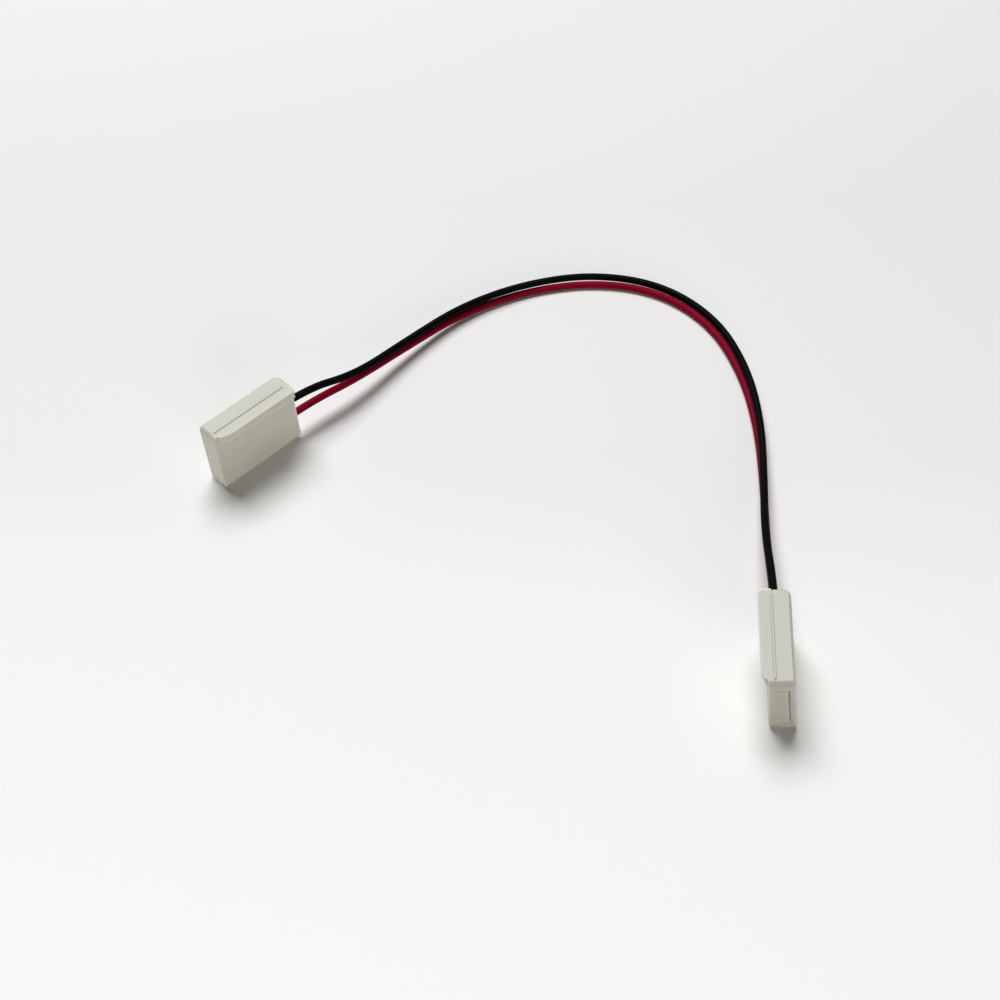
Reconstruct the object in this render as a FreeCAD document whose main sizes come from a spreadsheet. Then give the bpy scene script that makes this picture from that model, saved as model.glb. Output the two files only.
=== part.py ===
"""Two-wire jumper for light strip: a snap-shut clip at each end of a red and black lead.

Each clip is drawn lying flat: X runs from the mouth for the strip (0) to the wire end, Y runs
across the strip with its middle at 0, Z runs from the tray's outer face (0) to the cover. The
clip then stands on its latch side, hinge side up. The right clip is the mirror image of the left.
"""
import FreeCAD, Part
import math
import os
import re

import Sketcher

SIZES = {
    # clip as a whole
    "clip_length": 18.8,
    "clip_width": 15.0,
    "clip_depth": 4.45,
    "edge_round": 0.5,
    "foot_round": 0.9,
    "crown_round": 1.0,
    "corner_round": 1.5,
    # the light strip that the clip takes
    "strip_width": 10.0,
    "strip_play": 0.4,
    "strip_thick": 0.25,
    "strip_depth": 9.0,
    "mouth_height": 0.35,
    "mouth_lead": 0.2,
    # tray
    "floor_wall": 1.0,
    "end_wall": 1.6,
    "fence_height": 0.75,
    "fence_setback": 1.2,
    "bed_play": 0.2,
    # cover
    "cover_plate": 1.15,
    "cover_inset": 0.4,
    "seam": 0.05,
    "skirt_thick": 1.0,
    "skirt_gap": 0.18,
    "press_width": 1.0,
    "press_setback": 0.6,
    "press_gap": 0.1,
    "crimp_gap": 0.15,
    "groove_gap": 0.15,
    "rail_proud": 1.2,
    "rail_width": 2.4,
    "rail_setback": 1.1,
    "rail_taper": 3.6,
    "rail_round": 0.8,
    "flare_proud": 0.45,
    # latch hooks on the cover, and their slots in the tray
    "latch_inset": 4.0,
    "latch_width": 3.2,
    "hook_clear": 0.35,
    "slot_gap": 0.1,
    # film hinge
    "film_inset": 1.2,
    "film_thick": 0.17,
    "film_bore": 0.16,
    # contacts
    "contact_sheet": 0.25,
    "contact_width": 2.0,
    "tongue_tip": 1.6,
    "tongue_bow": 1.4,
    "crimp_slit": 0.14,
    # wires
    "wire_od": 1.5,
    "wire_play": 0.1,
    "wire_pitch": 4.3,
    "wire_lead_out": 4.2,
    "conductor": 0.75,
    "strand": 0.25,
    # where the clips stand: mouth end of the outer face, turn about Z, and the right one's lean
    "left_east": -54.364,
    "left_north": 21.09,
    "left_turn": 44.2,
    "right_east": 51.656,
    "right_north": -33.521,
    "right_turn": 85.75,
    "right_lean": 10.5,
}

# height of the wires' axes as a share of the clip's depth, and the hook and its barb as shares of
# the tray's side wall
WIRE_HEIGHT = 0.63
HOOK_SHARE = 0.39
BARB_SHARE = 0.146

# worked out from the sizes above
RIM = "(clip_depth - cover_plate - seam)"
LID = "(clip_depth - cover_plate)"
HINGE = "(clip_depth - cover_plate - seam / 2)"
GUIDE = "(strip_width + strip_play)"
SIDE_WALL = f"(clip_width / 2 - {GUIDE} / 2)"
WIRE_LEVEL = f"(clip_depth * {WIRE_HEIGHT})"
SEAT = f"({WIRE_LEVEL} - conductor / 2 - contact_sheet)"
CRADLE = f"({WIRE_LEVEL} - wire_od / 2 - contact_sheet)"
BED = "(contact_width + bed_play)"
WALL_FACE = "(clip_length - end_wall)"
HOOK = f"({SIDE_WALL} * {HOOK_SHARE})"
BARB = f"({SIDE_WALL} * {BARB_SHARE})"
HOOK_FACE = f"({GUIDE} / 2 + slot_gap / 2)"
HOOK_TIP = "(floor_wall + hook_clear)"
SLOT_DEPTH = f"({HOOK} + {BARB} + slot_gap * 2.5)"
FILM_OUTER = "(film_bore + 2 * film_thick)"
LATCHES = ("latch_inset", "(clip_length - latch_inset)")

# places between the strip's stop (0) and the wire-end wall (1)
STRANDS_FROM = 0.23
CRIMP = (0.30, 0.53)
STEP_DOWN = (0.64, 0.69)
INSULATION_FROM = 0.70
SLEEVE = (0.72, 0.97)

SIDES = {"left": 1, "right": -1}
COLOURS = {"black": 1, "red": -1}

# Routes of the lead's two wires over the table, by hand, between the clips' wire channels.
ROUTES = {
    "black": [
        (-27.02, 41.97, 6.9),
        (-17.32, 53.02, 4.3),
        (-6.22, 63.92, 2.8),
        (7.28, 71.12, 2.3),
        (22.28, 74.72, 1.6),
        (36.98, 71.82, 1.3),
        (47.78, 61.82, 1.3),
        (52.68, 47.42, 2.1),
        (53.88, 32.62, 2.4),
        (52.58, 17.52, 3.4),
        (50.78, 3.32, 5.8),
    ],
    "red": [
        (-27.22, 42.12, 4.6),
        (-17.22, 52.92, 2.7),
        (-6.02, 63.52, 1.1),
        (7.58, 70.42, 0.8),
        (22.48, 73.12, 0.8),
        (36.18, 70.22, 0.8),
        (46.58, 60.72, 0.8),
        (51.68, 47.02, 0.8),
        (53.38, 32.52, 0.8),
        (52.78, 17.52, 1.6),
        (51.38, 3.32, 3.7),
    ],
}
ARC_SHARE = 0.45

doc = FreeCAD.newDocument("light_strip_jumper")
sheet = doc.addObject("Spreadsheet::Sheet", "Sizes")
for row, (alias, size) in enumerate(SIZES.items(), 1):
    sheet.set(f"A{row}", alias.replace("_", " "))
    sheet.set(f"B{row}", str(size))
    sheet.setAlias(f"B{row}", alias)
doc.recompute()

parts = []


def bound(formula):
    """The formula with each size in it pointing at its cell in the sheet."""
    return re.sub(r"[a-z_]+", lambda m: f"Sizes.{m.group()}" if m.group() in SIZES else m.group(), formula)


def number(formula):
    """The formula's value for the sizes as they stand."""
    return float(sheet.evalExpression(bound(formula)))


def new_body(label):
    body = doc.addObject("PartDesign::Body", label)
    body.Label = label
    parts.append(body)
    return body


def sketch_on(body, role, level):
    """Empty sketch parallel to one of the body's origin planes, level above it along its normal."""
    plane = [feature for feature in body.Origin.OriginFeatures if feature.Role == role][0]
    sketch = body.newObject("Sketcher::SketchObject", "outline")
    sketch.AttachmentSupport = (plane, [""])
    sketch.MapMode = "FlatFace"
    sketch.setExpression("AttachmentOffset.Base.z", bound(level))
    return sketch


def hold(sketch, kind, geometry, point, formula):
    """Tie one coordinate of a point to a formula."""
    tie = sketch.addConstraint(Sketcher.Constraint(kind, -1, 1, geometry, point, number(formula)))
    sketch.setExpression(f"Constraints[{tie}]", bound(formula))


def outlines(body, role, level, loops):
    """Sketch of closed straight-sided loops, every corner tied to its two formulas."""
    sketch = sketch_on(body, role, level)
    for loop in loops:
        first = sketch.GeometryCount
        places = [FreeCAD.Vector(number(x), number(y), 0) for x, y in loop]
        for index, place in enumerate(places):
            sketch.addGeometry(Part.LineSegment(place, places[(index + 1) % len(places)]))
        for index, (x, y) in enumerate(loop):
            following = first + (index + 1) % len(loop)
            sketch.addConstraint(Sketcher.Constraint("Coincident", first + index, 2, following, 1))
            hold(sketch, "DistanceX", first + index, 1, x)
            hold(sketch, "DistanceY", first + index, 1, y)
    return sketch


def box_loop(x_low, x_high, y_low, y_high):
    return [(x_low, y_low), (x_high, y_low), (x_high, y_high), (x_low, y_high)]


def rounds(body, role, level, circles):
    """Sketch of circles, each given by its centre's two formulas and its diameter."""
    sketch = sketch_on(body, role, level)
    for x, y, diameter in circles:
        centre = FreeCAD.Vector(number(x), number(y), 0)
        index = sketch.addGeometry(Part.Circle(centre, FreeCAD.Vector(0, 0, 1), number(diameter) / 2))
        hold(sketch, "DistanceX", index, 3, x)
        hold(sketch, "DistanceY", index, 3, y)
        tie = sketch.addConstraint(Sketcher.Constraint("Diameter", index, number(diameter)))
        sketch.setExpression(f"Constraints[{tie}]", bound(diameter))
    return sketch


def raise_up(body, sketch, height, downward=False, both_ways=False):
    """Pad the sketch along its normal, against it, or half each way."""
    feature = body.newObject("PartDesign::Pad", "pad")
    feature.Profile = sketch
    feature.Reversed = downward
    feature.SideType = "Symmetric" if both_ways else "One side"
    feature.setExpression("Length", bound(height))
    return feature


def cut_out(body, sketch, depth, both_ways=False):
    """Pocket the sketch along its normal, or half each way."""
    feature = body.newObject("PartDesign::Pocket", "pocket")
    feature.Profile = sketch
    feature.Reversed = True
    feature.SideType = "Symmetric" if both_ways else "One side"
    feature.setExpression("Length", bound(depth))
    return feature


def dress(body, kind, size, wanted):
    """Round or chamfer the straight edges for which wanted(middle, direction) holds."""
    doc.recompute()
    base = body.Tip
    names = []
    for index, edge in enumerate(base.Shape.Edges, 1):
        if isinstance(edge.Curve, Part.Line):
            start, end = edge.Vertexes[0].Point, edge.Vertexes[-1].Point
            middle = (start + end) / 2
            if wanted(middle, (end - start).normalize()):
                names.append(f"Edge{index}")
    feature = body.newObject(f"PartDesign::{kind}", kind.lower())
    feature.Base = (base, names)
    feature.setExpression("Radius" if kind == "Fillet" else "Size", bound(size))
    return feature


def behind_stop(share):
    """A place between the strip's stop and the wire-end wall."""
    return f"(strip_depth + {share} * ({WALL_FACE} - strip_depth))"


def near(value, formula):
    return abs(value - number(formula)) < 1e-4


def across(hand, formula):
    """A place across the strip, mirrored for the right clip."""
    return f"{hand} * ({formula})"


def clip_placement(side):
    """From the flat drawing to the standing clip, hinge side up and latch side on the table."""
    half_width, rim = number("clip_width / 2"), number(RIM)
    if side == "left":
        place = FreeCAD.Vector(number("left_east"), number("left_north"), half_width)
        tip = FreeCAD.Rotation(FreeCAD.Vector(1, 0, 0), 90)
        turn = number("left_turn")
    else:
        lean = number("right_lean")
        angle = math.radians(lean)
        lift = half_width * math.cos(angle) + rim * math.sin(angle)
        place = FreeCAD.Vector(number("right_east"), number("right_north"), lift)
        tip = FreeCAD.Rotation(FreeCAD.Vector(1, 0, 0), -90 - lean)
        turn = number("right_turn")
    return FreeCAD.Placement(place, FreeCAD.Rotation(FreeCAD.Vector(0, 0, 1), turn) * tip)


def make_tray(side, hand):
    """Open tray: strip guide, contact beds, wire channels and latch slots."""
    body = new_body(f"{side}_tray")
    half, guide = "clip_width / 2", f"{GUIDE} / 2"
    section = [
        (across(hand, f"-{half}"), "0"),
        (across(hand, half), "0"),
        (across(hand, half), RIM),
        (across(hand, guide), RIM),
        (across(hand, guide), "floor_wall"),
        (across(hand, f"-{guide}"), "floor_wall"),
        (across(hand, f"-{guide}"), RIM),
        (across(hand, f"-{half}"), RIM),
    ]
    raise_up(body, outlines(body, "YZ_Plane", "0", [section]), "clip_length")

    seat = box_loop("strip_depth", "clip_length", f"-{guide}", guide)
    raise_up(body, outlines(body, "XY_Plane", "floor_wall", [seat]), f"{SEAT} - floor_wall")

    beds = (f"wire_pitch / 2 - {BED} / 2", f"wire_pitch / 2 + {BED} / 2")
    fence_start = "strip_depth + fence_setback"
    fences = [
        box_loop(fence_start, WALL_FACE, f"-({beds[0]})", beds[0]),
        box_loop(fence_start, WALL_FACE, beds[1], guide),
        box_loop(fence_start, WALL_FACE, f"-{guide}", f"-({beds[1]})"),
    ]
    raise_up(body, outlines(body, "XY_Plane", SEAT, fences), "fence_height")

    wall = box_loop(f"-{guide}", guide, "floor_wall", RIM)
    raise_up(body, outlines(body, "YZ_Plane", WALL_FACE, [wall]), "end_wall")

    sleeve_room = behind_stop(STEP_DOWN[0] - 0.01)
    cradles = [
        box_loop(sleeve_room, WALL_FACE, beds[0], beds[1]),
        box_loop(sleeve_room, WALL_FACE, f"-({beds[1]})", f"-({beds[0]})"),
    ]
    cut_out(body, outlines(body, "XY_Plane", CRADLE, cradles), f"{SEAT} - {CRADLE}")

    channel = "wire_od + wire_play"
    bores = [(f"{sign} * wire_pitch / 2", WIRE_LEVEL, channel) for sign in (1, -1)]
    cut_out(body, rounds(body, "YZ_Plane", WALL_FACE, bores), "end_wall")
    throats = [
        box_loop(f"{sign} * wire_pitch / 2 - ({channel}) / 2", f"{sign} * wire_pitch / 2 + ({channel}) / 2",
                 WIRE_LEVEL, RIM)
        for sign in (1, -1)
    ]
    cut_out(body, outlines(body, "YZ_Plane", WALL_FACE, throats), "end_wall")

    slots, windows = [], []
    for centre in LATCHES:
        low, high = f"{centre} - latch_width / 2 - slot_gap", f"{centre} + latch_width / 2 + slot_gap"
        slots.append(box_loop(low, high, across(hand, f"-{guide} - {SLOT_DEPTH}"), across(hand, f"-{guide}")))
        windows.append(box_loop(low, high, f"{HOOK_TIP} - slot_gap", f"{HOOK_TIP} + 2 * {BARB} + slot_gap"))
    cut_out(body, outlines(body, "XY_Plane", "floor_wall", slots), f"{RIM} - floor_wall")
    skin = f"{SIDE_WALL} - {SLOT_DEPTH}"
    outer = across(-hand, f"-{half}")
    cut_out(body, outlines(body, "XZ_Plane", outer, windows), f"2 * ({skin})", both_ways=True)

    dress(body, "Chamfer", "mouth_lead", lambda middle, way: near(middle.x, "0") and (
        (near(middle.z, "floor_wall") and abs(middle.y) < number(guide))
        or (near(abs(middle.y), guide) and middle.z > number("floor_wall"))))
    dress(body, "Fillet", "crown_round", lambda middle, way: near(middle.x, "0")
          and near(middle.y, across(hand, half)))
    dress(body, "Fillet", "corner_round", lambda middle, way: near(middle.z, "0")
          and near(middle.x, "clip_length"))
    dress(body, "Fillet", "foot_round", lambda middle, way: near(middle.z, "0")
          and near(middle.y, across(hand, f"-{half}")))
    dress(body, "Fillet", "edge_round", lambda middle, way: (near(middle.z, "0") and (
        near(middle.x, "0") or near(middle.y, across(hand, half))))
          or (near(middle.y, across(hand, f"-{half}")) and near(middle.x, "0")))
    body.Placement = clip_placement(side)
    return body


def make_cover(side, hand):
    """Cover plate with hinge rail, mouth skirt, press ribs, latch hooks and room for the crimps."""
    body = new_body(f"{side}_cover")
    half, guide = "clip_width / 2", f"{GUIDE} / 2"
    latch_side = f"{half} - cover_inset"
    plate = box_loop("0", "clip_length", across(-hand, latch_side), across(hand, half))
    raise_up(body, outlines(body, "XY_Plane", LID, [plate]), "cover_plate")
    dress(body, "Fillet", "crown_round", lambda middle, way: near(middle.x, "0")
          and near(middle.y, across(hand, half)))

    rail = [
        ("rail_setback", "clip_depth"),
        ("rail_setback + rail_taper * 0.12", "clip_depth + rail_proud * 0.5"),
        ("rail_setback + rail_taper * 0.45", "clip_depth + rail_proud * 0.86"),
        ("rail_setback + rail_taper", "clip_depth + rail_proud"),
        ("clip_length", "clip_depth + rail_proud"),
        ("clip_length", "clip_depth"),
    ]
    raise_up(body, outlines(body, "XZ_Plane", across(-hand, f"{half} - rail_width / 2"), [rail]),
             "rail_width", both_ways=True)

    rail_face = f"{half} - rail_width"
    dress(body, "Fillet", "rail_round", lambda middle, way: middle.z > number("clip_depth + rail_proud * 0.3")
          and (near(middle.y, across(hand, rail_face)) and abs(way.x) > 0.3
               or near(middle.x, "clip_length") and abs(way.y) > 0.9))
    flare = [
        (across(-hand, latch_side), "clip_depth"),
        (across(-hand, latch_side), "clip_depth + flare_proud"),
        (across(hand, rail_face), "clip_depth"),
    ]
    raise_up(body, outlines(body, "YZ_Plane", "0", [flare]), "clip_length")

    skirt_edge = f"{guide} - skirt_gap"
    skirt = box_loop("0", "skirt_thick", f"-({skirt_edge})", skirt_edge)
    raise_up(body, outlines(body, "XY_Plane", LID, [skirt]), f"{LID} - floor_wall - mouth_height", downward=True)

    ribs = [
        box_loop("tongue_tip + press_setback", "strip_depth - press_setback",
                 f"{sign} * wire_pitch / 2 - press_width / 2",
                 f"{sign} * wire_pitch / 2 + press_width / 2")
        for sign in (1, -1)
    ]
    raise_up(body, outlines(body, "XY_Plane", LID, ribs), f"{LID} - {SEAT} - contact_sheet - press_gap", downward=True)

    room = f"wire_pitch / 2 + {BED} / 2"
    hollow = box_loop(behind_stop(STRANDS_FROM / 2), WALL_FACE, f"-({room})", room)
    cut_out(body, outlines(body, "XY_Plane", LID, [hollow]),
            f"{WIRE_LEVEL} + wire_od / 2 + contact_sheet + crimp_gap - {LID}")
    grooves = [(f"{sign} * wire_pitch / 2", WIRE_LEVEL, "wire_od + 2 * groove_gap") for sign in (1, -1)]
    cut_out(body, rounds(body, "YZ_Plane", WALL_FACE, grooves), "end_wall")

    hook_outer = f"{HOOK_FACE} + {HOOK}"
    hooks = [
        box_loop(f"{centre} - latch_width / 2", f"{centre} + latch_width / 2",
                 across(hand, f"-({hook_outer})"), across(hand, f"-{HOOK_FACE}"))
        for centre in LATCHES
    ]
    raise_up(body, outlines(body, "XY_Plane", LID, hooks), f"{LID} - {HOOK_TIP}", downward=True)
    barb = [
        (across(hand, f"-({hook_outer})"), HOOK_TIP),
        (across(hand, f"-({hook_outer}) - {BARB}"), f"{HOOK_TIP} + {BARB}"),
        (across(hand, f"-({hook_outer})"), f"{HOOK_TIP} + 2 * {BARB}"),
    ]
    for centre in LATCHES:
        raise_up(body, outlines(body, "YZ_Plane", f"{centre} - latch_width / 2", [barb]), "latch_width")

    dress(body, "Fillet", "foot_round", lambda middle, way: near(middle.y, across(-hand, latch_side))
          and (near(middle.z, "clip_depth + flare_proud") or abs(way.z) > 0.9 and middle.z > number(LID)))
    body.Placement = clip_placement(side)
    return body


def make_film(side, hand):
    """Half-round film along the seam that ties the cover to the tray."""
    body = new_body(f"{side}_film_hinge")
    axis = across(hand, "clip_width / 2")
    length = "clip_length - 2 * film_inset"
    raise_up(body, rounds(body, "YZ_Plane", "film_inset", [(axis, HINGE, FILM_OUTER), (axis, HINGE, "film_bore")]),
             length)
    inner = across(hand, f"clip_width / 2 - {FILM_OUTER}")
    below = box_loop(inner, axis, f"{HINGE} - {FILM_OUTER}", f"{HINGE} + {FILM_OUTER}")
    cut_out(body, outlines(body, "YZ_Plane", "film_inset", [below]), length)
    body.Placement = clip_placement(side)
    return body


def make_contact(side, hand, colour):
    """Stamped contact: bowed tongue over the strip, conductor crimp and insulation sleeve."""
    body = new_body(f"{side}_{colour}_contact")
    centre = across(hand * COLOURS[colour], "wire_pitch / 2")
    touch = "floor_wall + strip_thick"
    under = [
        ("tongue_tip", f"{touch} + 1.2 * contact_sheet"),
        ("tongue_tip + tongue_bow", touch),
        ("tongue_tip + 2.5 * tongue_bow", f"{touch} + 1.2 * contact_sheet"),
        ("0.9 * strip_depth", SEAT),
        (behind_stop(STEP_DOWN[0]), SEAT),
        (behind_stop(STEP_DOWN[1]), CRADLE),
        (behind_stop(SLEEVE[1]), CRADLE),
    ]
    profile = under + [(x, f"{z} + contact_sheet") for x, z in reversed(under)]
    raise_up(body, outlines(body, "XZ_Plane", f"-({centre})", [profile]), "contact_width", both_ways=True)

    for (start, end), bore in ((CRIMP, "conductor"), (SLEEVE, "wire_od")):
        barrel = [(centre, WIRE_LEVEL, bore), (centre, WIRE_LEVEL, f"{bore} + 2 * contact_sheet")]
        raise_up(body, rounds(body, "YZ_Plane", behind_stop(start), barrel),
                 f"{behind_stop(end)} - {behind_stop(start)}")
    slit = box_loop(behind_stop(CRIMP[0]), WALL_FACE, f"{centre} - crimp_slit / 2", f"{centre} + crimp_slit / 2")
    cut_out(body, outlines(body, "XY_Plane", f"{WIRE_LEVEL} + conductor / 4", [slit]), "wire_od")
    body.Placement = clip_placement(side)
    return body


def make_strands(side, hand, colour):
    """Bared end of the conductor: a bundle with a groove between each two outer strands."""
    body = new_body(f"{side}_{colour}_strands")
    length = f"{behind_stop(INSULATION_FROM)} - {behind_stop(STRANDS_FROM)}"
    raise_up(body, rounds(body, "YZ_Plane", "0", [("0", "0", "conductor")]), length)
    groove = cut_out(body, rounds(body, "YZ_Plane", "0", [("0", "conductor / 2 + strand / 8", "strand / 2")]), length)
    ring = body.newObject("PartDesign::PolarPattern", "ring")
    ring.Originals = [groove]
    ring.Axis = (groove.Profile[0], ["N_Axis"])
    ring.Angle = 360
    ring.Occurrences = 6
    body.Tip = ring
    inset = FreeCAD.Placement(channel_point(hand, colour, behind_stop(STRANDS_FROM)), FreeCAD.Rotation())
    body.Placement = clip_placement(side).multiply(inset)
    return body


def channel_point(hand, colour, along):
    """A point on the axis of one wire's channel, in the flat drawing."""
    return FreeCAD.Vector(number(along), hand * COLOURS[colour] * number("wire_pitch / 2"), number(WIRE_LEVEL))


def lead_in(side, colour):
    """A wire's end inside its clip, and the point that keeps it straight as it comes out."""
    ends = (behind_stop(INSULATION_FROM), "clip_length + wire_lead_out")
    return [clip_placement(side).multVec(channel_point(SIDES[side], colour, along)) for along in ends]


def wire_path(points):
    """Straight runs joined by tangent arcs, each as large as its two runs allow."""
    spots = [FreeCAD.Vector(*point) for point in points]
    edges, radii, last = [], [], spots[0]
    for before, corner, after in zip(spots, spots[1:], spots[2:]):
        back, ahead = before - corner, after - corner
        reach = ARC_SHARE * min(back.Length, ahead.Length)
        back.normalize()
        ahead.normalize()
        turn = math.pi - back.getAngle(ahead)
        radius = reach / math.tan(turn / 2)
        start, end = corner + back * reach, corner + ahead * reach
        bisector = (back + ahead).normalize()
        centre = corner + bisector * (radius / math.cos(turn / 2))
        middle = centre - bisector * radius
        edges.append(Part.LineSegment(last, start).toShape())
        edges.append(Part.Arc(start, middle, end).toShape())
        radii.append(radius)
        last = end
    edges.append(Part.LineSegment(last, spots[-1]).toShape())
    return Part.Wire(edges), radii


def make_wire(colour):
    """Insulated wire as a round tube along its route."""
    points = lead_in("left", colour) + ROUTES[colour] + lead_in("right", colour)[::-1]
    path, radii = wire_path(points)
    start = path.Edges[0].Vertexes[0].Point
    way = path.Edges[0].tangentAt(path.Edges[0].FirstParameter)
    radius = number("wire_od / 2")
    ring = Part.Wire([Part.makeCircle(radius, start, way)])
    tube = path.makePipeShell([ring], True, False)
    wire = doc.addObject("Part::Feature", f"wire_{colour}")
    wire.Shape = tube
    wire.Label = f"wire_{colour}"
    parts.append(wire)
    expected = math.pi * radius ** 2 * path.Length
    print(f"wire_{colour}: length {path.Length:.1f}, tightest bend {min(radii):.1f}, "
          f"volume {tube.Volume:.2f} for {expected:.2f}")
    print("  radii", " ".join(f"{value:.0f}" for value in radii))
    for point in points[:2] + points[-2:]:
        print("  ({:.3f}, {:.3f}, {:.3f})".format(*point))
    return wire


def check_document():
    """Stop on any failed feature, empty or broken shape, or pocket that cut nothing."""
    for item in doc.Objects:
        if "Invalid" in item.State or "Error" in item.State:
            raise RuntimeError(f"{item.Name} failed: {item.State}")
        if item.TypeId == "PartDesign::Pocket":
            if item.Shape.Volume > item.BaseFeature.Shape.Volume - 1e-6:
                raise RuntimeError(f"{item.Name} cut nothing")
    for item in parts:
        if item.Shape.isNull() or not item.Shape.isValid():
            raise RuntimeError(f"{item.Label} has no valid shape")


for side_name, side_hand in SIDES.items():
    make_tray(side_name, side_hand)
    make_cover(side_name, side_hand)
    make_film(side_name, side_hand)
    for wire_colour in COLOURS:
        make_contact(side_name, side_hand, wire_colour)
        make_strands(side_name, side_hand, wire_colour)
for wire_colour in COLOURS:
    make_wire(wire_colour)

doc.recompute()
check_document()
os.makedirs("parts", exist_ok=True)
for item in parts:
    item.Shape.exportStep(f"parts/{item.Label}.step")
    print(item.Label, len(item.Shape.Solids), f"{item.Shape.Volume:.2f}")
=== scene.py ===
import math

import bpy
import numpy as np
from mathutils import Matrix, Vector


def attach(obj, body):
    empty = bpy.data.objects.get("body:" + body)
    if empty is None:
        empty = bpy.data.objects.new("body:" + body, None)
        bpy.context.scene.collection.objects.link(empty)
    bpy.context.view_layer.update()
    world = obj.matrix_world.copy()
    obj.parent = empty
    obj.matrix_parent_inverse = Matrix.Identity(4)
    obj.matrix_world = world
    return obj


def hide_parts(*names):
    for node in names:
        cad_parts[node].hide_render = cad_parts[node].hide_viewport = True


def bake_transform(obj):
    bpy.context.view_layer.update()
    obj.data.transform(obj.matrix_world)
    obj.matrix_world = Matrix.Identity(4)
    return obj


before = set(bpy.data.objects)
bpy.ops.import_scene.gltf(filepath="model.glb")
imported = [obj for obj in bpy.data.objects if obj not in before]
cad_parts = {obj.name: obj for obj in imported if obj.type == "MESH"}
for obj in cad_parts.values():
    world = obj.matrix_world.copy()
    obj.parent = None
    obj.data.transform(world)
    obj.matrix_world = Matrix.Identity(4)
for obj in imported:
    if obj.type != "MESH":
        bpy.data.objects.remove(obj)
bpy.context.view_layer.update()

MM = 0.001

# A clip's own drawing, in millimetres: X from the strip's mouth to the wire end, Y across the
# strip, Z from the tray's outer face to the cover.
CLIP_LENGTH = 18.8
HALF_WIDTH = 7.5
HINGE_HEIGHT = 3.275
WIRE_HEIGHT = 2.8035
WIRE_OFFSET = 2.15
WIRE_DIAMETER = 1.5
STRANDS = (10.886, 14.74)
STRAND_RADIUS = 0.125
STRAND_OVERLAP = 0.3
STRAND_RAGGED = 0.12
STRAND_TWIST = 0.35
FILM_ENDS = (1.2, 17.6)
FILM_RADII = (0.08, 0.25)

# Where each clip's drawing stands on the table: place, turn about Z, tip about its own X, and
# the sign of the hinge's side in the drawing.
CLIPS = {
    "left": ((-54.364, 21.09, 7.5), 44.2, 90.0, 1),
    "right": ((51.656, -33.521, 7.967), 85.75, -100.5, -1),
}
COLOURS = {"black": 1, "red": -1}

# Control points of the two wires' routes, in metres, from inside the left clip to inside the right.
ROUTES = {
    "black": [
        (-0.041842, 0.029356, 0.009650),
        (-0.035921, 0.035115, 0.009650),
        (-0.027020, 0.041600, 0.006400),
        (-0.017320, 0.052850, 0.004100),
        (-0.006220, 0.063920, 0.002800),
        (0.007280, 0.071120, 0.002300),
        (0.022280, 0.074720, 0.001600),
        (0.036980, 0.071820, 0.001300),
        (0.047780, 0.061820, 0.001300),
        (0.052680, 0.047420, 0.002100),
        (0.053880, 0.032620, 0.002400),
        (0.052580, 0.017520, 0.003400),
        (0.050780, 0.003320, 0.005800),
        (0.050221, -0.010351, 0.009570),
        (0.049609, -0.018588, 0.009570),
    ],
    "red": [
        (-0.041842, 0.029356, 0.005350),
        (-0.035921, 0.035115, 0.005350),
        (-0.027220, 0.041870, 0.004600),
        (-0.017220, 0.052750, 0.002500),
        (-0.006020, 0.063520, 0.001100),
        (0.007580, 0.070420, 0.000800),
        (0.022480, 0.073120, 0.000800),
        (0.036180, 0.070220, 0.000800),
        (0.046580, 0.060720, 0.000800),
        (0.051680, 0.047020, 0.000800),
        (0.053380, 0.032520, 0.000800),
        (0.052780, 0.017520, 0.001600),
        (0.051380, 0.003320, 0.003700),
        (0.051002, -0.010409, 0.005342),
        (0.050390, -0.018646, 0.005342),
    ],
}


class Tone:
    """A shader socket. Arithmetic on it adds Math nodes to its finish."""

    def __init__(self, finish, socket):
        self.finish = finish
        self.socket = socket

    def maths(self, operation, *values):
        return self.finish.add("ShaderNodeMath", {"operation": operation}, dict(enumerate(values)))

    def __add__(self, other):
        return self.maths("ADD", self, other)

    def __sub__(self, other):
        return self.maths("SUBTRACT", self, other)

    def __mul__(self, other):
        return self.maths("MULTIPLY", self, other)

    def between(self, low, high):
        """0 at or below low, 1 at or above high, smooth between."""
        settings = {"interpolation_type": "SMOOTHSTEP"}
        inputs = {"Value": self, "From Min": low, "From Max": high}
        return self.finish.add("ShaderNodeMapRange", settings, inputs)

    __radd__ = __add__
    __rmul__ = __mul__


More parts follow.
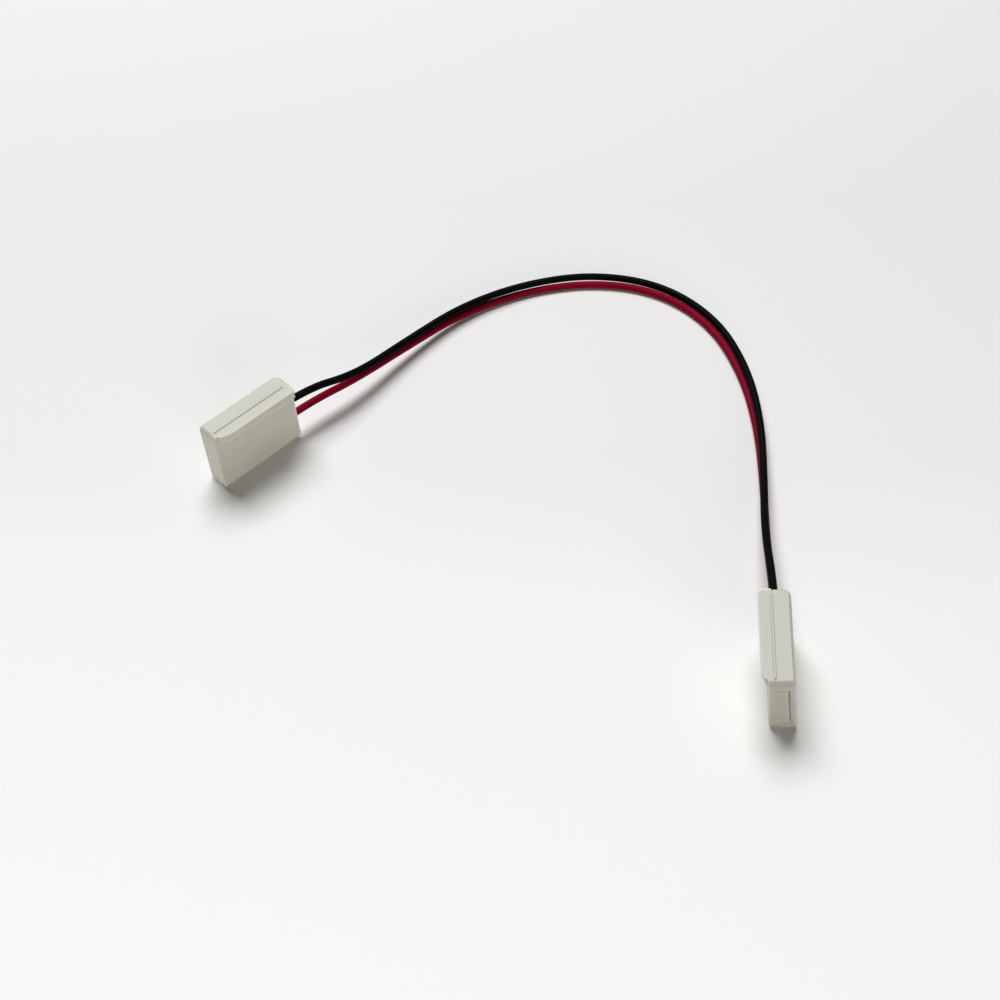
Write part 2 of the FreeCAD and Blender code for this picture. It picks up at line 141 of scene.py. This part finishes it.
class Finish:
    """A material under construction."""

    def __init__(self, name):
        self.material = bpy.data.materials.new(name)
        self.material.use_nodes = True
        self.tree = self.material.node_tree
        self.shader = self.tree.nodes["Principled BSDF"]

    def add(self, kind, settings=None, inputs=None, output=0):
        """Add a node: its settings first, then its sockets' values or links; gives one output."""
        node = self.tree.nodes.new(kind)
        for name, value in (settings or {}).items():
            if name == "stops":
                ramp = node.color_ramp
                while len(ramp.elements) < len(value):
                    ramp.elements.new(0.5)
                for element, (place, colour) in zip(ramp.elements, value):
                    element.position = place
                    element.color = (*colour, 1)
            else:
                setattr(node, name, value)
        self.feed(node, inputs or {})
        return Tone(self, node.outputs[output])

    def feed(self, node, inputs):
        for name, value in inputs.items():
            if isinstance(value, Tone):
                self.tree.links.new(value.socket, node.inputs[name])
            else:
                node.inputs[name].default_value = value

    def noise(self, where, scale, detail=2.0, roughness=0.5):
        inputs = {"Vector": where, "Scale": scale, "Detail": detail, "Roughness": roughness}
        return self.add("ShaderNodeTexNoise", None, inputs)

    def blend(self, share, first, second):
        """The first colour where share is 0, the second where it is 1."""
        return self.add("ShaderNodeMix", {"data_type": "RGBA"}, {0: share, 6: first, 7: second}, 2)

    def stretch(self, where, scale, turn=(0, 0, 0)):
        return self.add("ShaderNodeMapping", None, {"Vector": where, "Scale": scale, "Rotation": turn})

    def bump(self, height, strength, distance):
        inputs = {"Height": height, "Strength": strength, "Distance": distance}
        return self.add("ShaderNodeBump", None, inputs)

    def wear(self, *pieces):
        """Give this finish to the pieces."""
        for piece in pieces:
            piece.data.materials.clear()
            piece.data.materials.append(self.material)


def milky_nylon(name, depth, shade=1.0):
    """Natural nylon: milky and a little yellow, cloudy flow marks, fine moulded grain. Light spreads
    through it over about the given depth, and a painted warm glow stands in for light carried through
    its walls; shade below 1 makes its colour and its glow darker."""
    dull, clear, rubbed = [
        tuple(shade * part for part in tone) + (1,)
        for tone in ((0.305, 0.306, 0.262), (0.332, 0.337, 0.300), (0.47, 0.47, 0.44))
    ]
    finish = Finish(name)
    place = finish.add("ShaderNodeTexCoord", output="Object")
    clouds = finish.noise(place, 160, 3, 0.55)
    flow = finish.noise(finish.stretch(place, (90, 90, 420)), 1.0, 2, 0.6)
    grain = finish.noise(place, 5200, 3, 0.6)
    scuffs = finish.noise(finish.stretch(place, (300, 2600, 900), (0.3, 0.2, 0.7)), 1.0, 3, 0.7)
    cloudy = clouds * 0.6 + flow * 0.4
    colour = finish.blend(cloudy.between(0.36, 0.64), dull, clear)
    worn = scuffs.between(0.62, 0.74)
    colour = finish.blend(worn * 0.35, colour, rubbed)
    finish.feed(finish.shader, {
        "Base Color": colour,
        "Roughness": 0.36 + cloudy * 0.12 + worn * 0.12,
        "Normal": finish.bump(grain * 0.7 + flow * 0.3, 0.22, 0.00006),
        "IOR": 1.53,
        # painted glow: the warm emission stands in for light carried through the milky walls, lifting
        # the faces turned away from the lamps
        "Emission Color": finish.blend(cloudy, (1.0, 0.95, 0.76, 1), (1.0, 0.97, 0.84, 1)),
        "Emission Strength": 0.17 * shade,
        "Subsurface Weight": 1.0 if depth else 0.0,
        "Subsurface Radius": (1.0, 0.92, 0.8),
        "Subsurface Scale": depth,
    })
    return finish


def drawn_vinyl(name, deep, light, rough):
    """Extruded insulation: fine draw lines along the wire, faint cloudiness, satin skin."""
    finish = Finish(name)
    along = finish.add("ShaderNodeTexCoord", output="UV")
    place = finish.add("ShaderNodeTexCoord", output="Object")
    lines = finish.noise(finish.stretch(along, (6, 60, 1)), 1.0, 3, 0.6)
    clouds = finish.noise(place, 260, 3, 0.6)
    pores = finish.noise(place, 4200, 2, 0.5)
    share = (lines * 0.5 + clouds * 0.5).between(0.35, 0.68)
    finish.feed(finish.shader, {
        "Base Color": finish.blend(share, (*deep, 1), (*light, 1)),
        "Roughness": rough + clouds * 0.16 + lines * 0.06,
        "Specular IOR Level": 0.05,
        "Normal": finish.bump(lines * 0.5 + pores * 0.5, 0.25, 0.00004),
        "IOR": 1.5,
    })
    return finish


def tinned_sheet():
    """Tin-plated spring bronze: rolled streaks, dull spots and a faint warm cast."""
    finish = Finish("tinned_sheet")
    place = finish.add("ShaderNodeTexCoord", output="Object")
    rolled = finish.noise(finish.stretch(place, (900, 900, 5200)), 1.0, 3, 0.6)
    spots = finish.noise(place, 900, 3, 0.6)
    colour = finish.blend(spots.between(0.4, 0.7), (0.74, 0.74, 0.72, 1), (0.62, 0.59, 0.53, 1))
    finish.feed(finish.shader, {
        "Base Color": colour,
        "Metallic": 1.0,
        "Roughness": 0.2 + spots * 0.25 + rolled * 0.1,
        "Normal": finish.bump(rolled, 0.2, 0.00003),
    })
    return finish


def bare_copper():
    """Bare copper strands, browner where the air has reached them."""
    finish = Finish("bare_copper")
    place = finish.add("ShaderNodeTexCoord", output="Object")
    tarnish = finish.noise(place, 1300, 4, 0.65)
    colour = finish.blend(tarnish.between(0.4, 0.66), (0.86, 0.47, 0.30, 1), (0.55, 0.26, 0.15, 1))
    finish.feed(finish.shader, {
        "Base Color": colour,
        "Metallic": 1.0,
        "Roughness": 0.22 + tarnish * 0.3,
        "Normal": finish.bump(tarnish, 0.15, 0.00002),
    })
    return finish


def table_top():
    """Pale table with painted light: its colour grows a little lighter towards the viewer, standing in
    for brighter light on the near part.
    """
    finish = Finish("table_top")
    place = finish.add("ShaderNodeTexCoord", output="Object")
    depth = finish.add("ShaderNodeSeparateXYZ", None, {0: place}, "Y")
    # painted light: the ramp lightens the table towards the viewer in place of light that falls off
    # away from it
    stops = [(0.0, (0.985,) * 3), (0.45, (0.875,) * 3), (0.62, (0.80,) * 3), (1.0, (0.745,) * 3)]
    shade = finish.add("ShaderNodeValToRGB", {"stops": stops}, {0: depth * 5 + 0.5})
    finish.feed(finish.shader, {
        "Base Color": shade,
        "Roughness": 0.9,
        "Specular IOR Level": 0.1,
    })
    return finish


def turned(points, axis, degrees):
    """The points turned about one axis through the origin."""
    angle = math.radians(degrees)
    cosine, sine = math.cos(angle), math.sin(angle)
    first, second = [index for index in range(3) if index != axis]
    if axis == 1:
        first, second = second, first
    result = np.array(points, float)
    result[..., first] = points[..., first] * cosine - points[..., second] * sine
    result[..., second] = points[..., first] * sine + points[..., second] * cosine
    return result


def standing(points, side):
    """Points of a clip's own drawing, in millimetres, brought to the table, in metres."""
    place, turn, tip, _ = CLIPS[side]
    return (turned(turned(points, 0, tip), 2, turn) + np.array(place)) * MM


def surface(name, grids):
    """Mesh of grids of points, with flat ends: rows follow the length, and columns go round and
    close on themselves."""
    mesh = bpy.data.meshes.new(name)
    vertices, faces, base = [], [], 0
    for grid in grids:
        rows, columns = grid.shape[:2]
        index = np.arange(rows * columns).reshape(rows, columns) + base
        following = np.roll(index, -1, axis=1)
        quads = np.stack([index[:-1], following[:-1], following[1:], index[1:]], axis=-1)
        vertices.append(grid.reshape(-1, 3))
        faces += quads.reshape(-1, 4).tolist()
        faces += [index[0, ::-1].tolist(), index[-1].tolist()]
        base += rows * columns
    mesh.from_pydata(np.concatenate(vertices).tolist(), [], faces)
    mesh.shade_smooth()
    piece = bpy.data.objects.new(name, mesh)
    bpy.context.scene.collection.objects.link(piece)
    return piece


def twisted_bundle(side, colour):
    """Seven strands: one straight, six round it. A strand's centre is a helix of two strand radii
    that turns as it goes along, and its skin is a circle of one strand radius about that centre."""
    hand = CLIPS[side][3]
    along = np.linspace(STRANDS[0], STRANDS[1] + STRAND_OVERLAP, 28)
    fraction = (along - along[0]) / (along[-1] - along[0])
    around = np.linspace(0, 2 * math.pi, 12, endpoint=False)
    grids = []
    for strand in range(7):
        orbit = 0 if strand == 0 else 2 * STRAND_RADIUS
        phase = strand * math.pi / 3 + (along - along[0]) * STRAND_TWIST
        ragged = along + STRAND_RAGGED * math.sin(strand * 2.4) * (1 - fraction)
        centre_y = hand * COLOURS[colour] * WIRE_OFFSET + orbit * np.cos(phase)
        centre_z = WIRE_HEIGHT + orbit * np.sin(phase)
        points = np.empty((len(along), len(around), 3))
        points[..., 0] = ragged[:, None]
        points[..., 1] = centre_y[:, None] + STRAND_RADIUS * np.cos(around)
        points[..., 2] = centre_z[:, None] + STRAND_RADIUS * np.sin(around)
        grids.append(standing(points, side))
    piece = surface(f"{side}_{colour}_strand_bundle", grids)
    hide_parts(f"{side}_{colour}_strands")
    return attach(piece, "jumper")


def film_hinge(side):
    """Film over the seam: a band bent half round the hinge's axis. Its section is the ring between
    two radii, thinner in the middle, with its corners eased, carried along the seam."""
    hand = CLIPS[side][3]
    inner, outer = FILM_RADII
    bend = np.linspace(-math.pi / 2, math.pi / 2, 25)
    middle = (inner + outer) / 2
    half = (outer - inner) / 2 * (1 - 0.2 * np.cos(bend) ** 2)
    ease = np.array([0.55, 0.9, 1, 1, 0.9, 0.55])
    start, stop = FILM_ENDS
    ends = np.array([start, start + 0.06, start + 0.15, stop - 0.15, stop - 0.06, stop])
    length = np.concatenate([ends, ends[::-1]])
    side_way = np.concatenate([ease, -ease])
    radius = middle + half[:, None] * side_way
    points = np.empty((len(bend), len(length), 3))
    points[..., 0] = length
    points[..., 1] = hand * (HALF_WIDTH + radius * np.cos(bend)[:, None])
    points[..., 2] = HINGE_HEIGHT + radius * np.sin(bend)[:, None]
    if hand > 0:
        points = points[:, ::-1]
    piece = surface(f"{side}_hinge_film", [standing(points, side)])
    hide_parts(f"{side}_film_hinge")
    centre = np.array([(start + stop) / 2, hand * HALF_WIDTH, HINGE_HEIGHT])
    low, high = standing(centre + np.array([[0, 0, -outer], [0, 0, outer]]), side)
    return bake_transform(piece)


def insulated_wire(colour):
    """Round wire on a smooth curve with the route's points as its control points."""
    curve = bpy.data.curves.new(f"{colour}_lead", "CURVE")
    curve.dimensions = "3D"
    spline = curve.splines.new("NURBS")
    spline.points.add(len(ROUTES[colour]) - 1)
    for point, place in zip(spline.points, ROUTES[colour]):
        point.co = (*place, 1)
        point.radius = WIRE_DIAMETER / 2 * MM
    spline.order_u = 3
    spline.use_endpoint_u = True
    curve.resolution_u = 10
    curve.bevel_depth = 1
    curve.bevel_resolution = 8
    curve.use_fill_caps = True
    piece = bpy.data.objects.new(f"{colour}_lead", curve)
    bpy.context.scene.collection.objects.link(piece)
    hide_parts(f"wire_{colour}")
    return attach(piece, "jumper")


def soft_box(name, place, aim, size, power, tint=(1, 1, 1)):
    """Area lamp of the given width and height that looks at a point."""
    lamp = bpy.data.lights.new(name, "AREA")
    lamp.shape = "RECTANGLE"
    lamp.size, lamp.size_y = size
    lamp.energy = power
    lamp.color = tint
    box = bpy.data.objects.new(name, lamp)
    box.location = place
    box.rotation_euler = (Vector(aim) - Vector(place)).to_track_quat("-Z", "Y").to_euler()
    bpy.context.scene.collection.objects.link(box)


scene = bpy.context.scene
scene.view_settings.view_transform = "Standard"

# camera: the photograph's place and lens
AIM = Vector((0.001984, 0.015175, 0.0))
ELEVATION = math.radians(53.81)
DISTANCE = 0.26756
camera = bpy.data.objects.new("camera", bpy.data.cameras.new("camera"))
camera.data.lens = 50
camera.data.sensor_width = 36
camera.data.clip_start = 0.01
back = Vector((0, -math.cos(ELEVATION), math.sin(ELEVATION)))
camera.location = AIM + back * DISTANCE
camera.rotation_euler = (-back).to_track_quat("-Z", "Y").to_euler()
scene.collection.objects.link(camera)
scene.camera = camera

# finishes: the right clip's nylon is made darker overall
NYLON = {"left": milky_nylon("left_nylon", 0.002), "right": milky_nylon("right_nylon", 0.002, 0.85)}
THIN_NYLON = milky_nylon("thin_nylon", 0)
BLACK = drawn_vinyl("black_vinyl", (0.0006, 0.0006, 0.0009), (0.0016, 0.0016, 0.0022), 0.46)
RED = drawn_vinyl("red_vinyl", (0.190, 0.0004, 0.014), (0.250, 0.0012, 0.022), 0.48)
TIN = tinned_sheet()
COPPER = bare_copper()

# wires
for colour, vinyl in (("black", BLACK), ("red", RED)):
    wire = insulated_wire(colour)
    vinyl.wear(wire)
    route_exit = standing(np.array([CLIP_LENGTH, COLOURS[colour] * WIRE_OFFSET, WIRE_HEIGHT]), "left")

# clips
for side in CLIPS:
    NYLON[side].wear(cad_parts[f"{side}_tray"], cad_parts[f"{side}_cover"])
    THIN_NYLON.wear(film_hinge(side))
    for colour in COLOURS:
        TIN.wear(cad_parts[f"{side}_{colour}_contact"])
        COPPER.wear(twisted_bundle(side, colour))

# table and light
table = bpy.data.meshes.new("table")
table.from_pydata([(-1.5, -1.5, 0), (1.5, -1.5, 0), (1.5, 1.5, 0), (-1.5, 1.5, 0)], [], [(0, 1, 2, 3)])
table_piece = bpy.data.objects.new("table", table)
scene.collection.objects.link(table_piece)
table_top().wear(table_piece)

world = bpy.data.worlds.new("room")
scene.world = world
world.use_nodes = True
world.node_tree.nodes["Background"].inputs["Color"].default_value = (1, 1, 1, 1)
world.node_tree.nodes["Background"].inputs["Strength"].default_value = 0.05
soft_box("key", (-0.18, 0.50, 1.0), (0, 0.02, 0), (0.72, 0.56), 14.5)
soft_box("low card", (0.32, -0.95, 0.20), (0, 0, 0), (0.7, 0.7), 4.4, (1.0, 0.93, 0.78))
